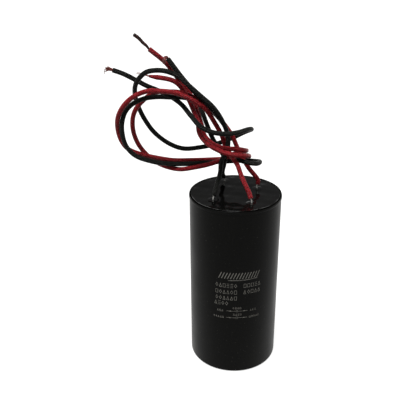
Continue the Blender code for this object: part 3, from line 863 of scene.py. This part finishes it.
# the print on the front: plain signs in rows, a hatched band and the symbol for each section,
# in millimetres along and up the wall
printing = {
    "seed": 4,                 # of the choice of signs
    "crispFrom": 30,           # degrees
    "thickness": 0.03 * mm,    # a little more than a real film of ink
    "lift": 0.015 * mm,        # off the wall, so that the ink and the wall don't share a face
    "jointEvery": 0.9,         # of a line that goes round the wall
    "sizes": {
        "large": {"width": 1.5, "height": 2.4, "pitch": 2.1, "stroke": 0.2},
        "small": {"width": 0.9, "height": 1.2, "pitch": 1.3, "stroke": 0.15},
    },
    "forms": {      # each line from and to a share of the sign's width and height
        "frame": ((0, 0, 1, 0), (1, 0, 1, 1), (1, 1, 0, 1), (0, 1, 0, 0)),
        "diamond": ((0.5, 0, 1, 0.5), (1, 0.5, 0.5, 1), (0.5, 1, 0, 0.5), (0, 0.5, 0.5, 0)),
        "triangle": ((0, 0, 1, 0), (1, 0, 0.5, 1), (0.5, 1, 0, 0)),
        "bars": ((0, 0, 1, 0), (0, 0.5, 1, 0.5), (0, 1, 1, 1)),
    },
    "rows": (      # left end, bottom, how many signs, of which size
        (-11.7, 58.1, 6, "large"), (4.0, 58.1, 5, "large"),
        (-11.7, 54.0, 6, "large"), (4.0, 54.0, 5, "large"),
        (-11.7, 50.1, 6, "large"), (-12.3, 46.6, 4, "large"),
        (-1.9, 44.2, 4, "small"), (-10.7, 42.2, 3, "small"), (8.0, 42.2, 3, "small"),
        (-1.6, 39.9, 4, "small"), (-12.9, 37.8, 5, "small"), (7.6, 37.8, 5, "small"),
    ),
    "symbols": (42.8, 38.4),      # heights of the two symbols
    "symbolEnds": (-5.3, 6.3),
    "symbolDots": (-3.4, 4.4),
    "symbolStroke": 0.17,
    "dot": 0.55,
    "plateGap": 0.35,      # from the symbol's middle to each plate
    "plateHeight": 1.4,
    "hatch": {
        "from": -10, "count": 14, "pitch": 1.65, "lean": 1.5, "low": 63.8, "high": 67.2, "stroke": 0.45,
    },
    "rule": (-4.5, 62.6, 11.5, 63.1),      # from and to
    "ruleStroke": 0.3,
}


def inkLine(x1, z1, x2, z2, stroke):
    span = math.hypot(x2 - x1, z2 - z1)
    turn = math.atan2(z2 - z1, x2 - x1)
    bpy.ops.mesh.primitive_plane_add(size=1, location=((x1 + x2) / 2, 0, (z1 + z2) / 2),
                                     rotation=(math.pi / 2, -turn, 0))
    line = bpy.context.object
    line.scale = (span + stroke, stroke, 1)
    bpy.ops.object.transform_apply(location=True, rotation=True, scale=True)
    if abs(x2 - x1) > 2 * printing["jointEvery"]:      # a long line needs joints to follow the round wall
        startEdit(line)
        bpy.ops.mesh.select_all(action="SELECT")
        bpy.ops.mesh.subdivide(number_cuts=math.ceil(span / printing["jointEvery"]))
        bpy.ops.object.mode_set(mode="OBJECT")
    return line


def inkSign(form, x, z, size):
    stroke = size["stroke"]
    wide, tall = size["width"] - stroke, size["height"] - stroke
    return [inkLine(x + wide * x1, z + tall * z1, x + wide * x2, z + tall * z2, stroke)
            for x1, z1, x2, z2 in printing["forms"][form]]


def inkSymbol(height):
    left, right = printing["symbolEnds"]
    middle, gap, plate = (left + right) / 2, printing["plateGap"], printing["plateHeight"] / 2
    stroke, dot = printing["symbolStroke"], printing["dot"]
    lines = [inkLine(left, height, middle - gap, height, stroke)]
    lines.append(inkLine(middle + gap, height, right, height, stroke))
    lines += [inkLine(x, height - plate, x, height + plate, stroke) for x in (middle - gap, middle + gap)]
    return lines + [inkLine(x, height, x + dot / 2, height, dot) for x in printing["symbolDots"]]


def addPrint():
    chance = random.Random(printing["seed"])
    lines = []
    for left, bottom, count, sizeName in printing["rows"]:
        size = printing["sizes"][sizeName]
        for i in range(count):
            form = chance.choice(list(printing["forms"]))
            lines += inkSign(form, left + i * size["pitch"], bottom, size)
    for height in printing["symbols"]:
        lines += inkSymbol(height)
    hatch = printing["hatch"]
    for i in range(hatch["count"]):
        x = hatch["from"] + i * hatch["pitch"]
        lines.append(inkLine(x, hatch["low"], x + hatch["lean"], hatch["high"], hatch["stroke"]))
    lines.append(inkLine(*printing["rule"], printing["ruleStroke"]))
    bpy.ops.object.select_all(action="DESELECT")
    for line in lines:
        line.select_set(True)
    bpy.context.view_layer.objects.active = lines[0]
    bpy.ops.object.join()
    piece = bpy.context.object
    piece.name = "section_print"
    piece.data.name = "section_print"
    reach = can["wallRadius"] + printing["lift"]
    for vertex in piece.data.vertices:      # roll the flat print round the wall
        turn = vertex.co.x * mm / can["wallRadius"]
        vertex.co = (reach * math.sin(turn), -reach * math.cos(turn), vertex.co.z * mm)
    thick = piece.modifiers.new("film of ink", "SOLIDIFY")
    thick.thickness = printing["thickness"]
    thick.offset = 1
    bpy.ops.object.modifier_apply(modifier=thick.name)
    finishPiece(piece, inkFinish, printing["crispFrom"])


addPrint()
print("print rolled on")


# floor, lamps and world: a plain pale studio
studio = {
    "paper": "#868684",
    "floorRadius": 9,
    "floorSides": 64,
    "floorDrop": 0.1 * mm,     # so that it isn't in one plane with the can's base
    "floorGlow": 0.85,         # added for the eye alone: the floor is white and keeps the can's shadow
    "white": (1, 1, 1, 1),
    "worldLight": 0.16,        # as light on the object
    "sweepTop": 0.12,          # how high the white sweep reaches, as the rise of a line of sight
    "ceilingFrom": 0.3,        # and from where on the room over it is at its darkest
    "ceiling": 0.09,           # brightness of that room, as gloss shows it
    "lamps": (      # where it shines from, how soft in degrees, strength
        ((-0.15, -0.21, 0.95), 28, 4.45),
        ((0.6, 0.5, 0.6), 40, 0.7),
    ),
}


# 1 for what the camera sees straight, in a reflection or through glass, and 0 for light on the object
def seenByEye(material):
    paths = addNode(material, "ShaderNodeLightPath")
    seen = paths.outputs["Is Camera Ray"]
    for kind in ("Is Glossy Ray", "Is Transmission Ray"):
        either = addNode(material, "ShaderNodeMath", {"operation": "MAXIMUM"}, i0=seen,
                         i1=paths.outputs[kind])
        seen = either.outputs[0]
    return seen


def addStudio():
    bpy.ops.object.select_all(action="DESELECT")
    bpy.ops.mesh.primitive_circle_add(vertices=studio["floorSides"], radius=studio["floorRadius"],
                                      fill_type="NGON", location=(0, 0, -studio["floorDrop"]))
    floor = bpy.context.object
    floor.name = "studio_floor"
    material = bpy.data.materials.new("palePaper")
    material.use_nodes = True
    material.node_tree.nodes.clear()
    paper = addNode(material, "ShaderNodeBsdfDiffuse", Color=linear(studio["paper"]))
    added = addNode(material, "ShaderNodeMath", {"operation": "MULTIPLY"}, i0=seenByEye(material),
                    i1=studio["floorGlow"])
    glow = addNode(material, "ShaderNodeEmission", Color=studio["white"], Strength=added.outputs[0])
    both = addNode(material, "ShaderNodeAddShader", i0=paper.outputs[0], i1=glow.outputs[0])
    output = addNode(material, "ShaderNodeOutputMaterial", Surface=both.outputs[0])
    output.is_active_output = True
    floor.data.materials.append(material)
    for i, (place, softness, strength) in enumerate(studio["lamps"]):
        lamp = bpy.data.lights.new(f"softLamp_{i + 1}", "SUN")
        lamp.angle = math.radians(softness)
        lamp.energy = strength
        holder = bpy.data.objects.new(lamp.name, lamp)
        holder.location = place
        holder.rotation_euler = Vector(place).to_track_quat("Z", "Y").to_euler()
        bpy.context.scene.collection.objects.link(holder)
    world = bpy.data.worlds.new("studio")
    bpy.context.scene.world = world
    world.use_nodes = True
    back = world.node_tree.nodes["Background"]
    back.inputs["Color"].default_value = studio["white"]
    sight = addNode(world, "ShaderNodeTexCoord").outputs["Generated"]
    towards = addNode(world, "ShaderNodeSeparateXYZ", Vector=sight)
    room = addNode(world, "ShaderNodeMapRange", Value=towards.outputs["Z"], From_Min=studio["sweepTop"],
                   From_Max=studio["ceilingFrom"], To_Min=1.0, To_Max=studio["ceiling"])
    inGloss = addNode(world, "ShaderNodeMix", i0=seenByEye(world), i2=studio["worldLight"],
                      i3=room.outputs[0])
    straight = addNode(world, "ShaderNodeLightPath").outputs["Is Camera Ray"]
    strength = addNode(world, "ShaderNodeMix", i0=straight, i2=inGloss.outputs[0], i3=1.0)      # 1 is white
    world.node_tree.links.new(strength.outputs[0], back.inputs["Strength"])


addStudio()
bpy.context.scene.view_settings.view_transform = "Standard"
print("studio lit")
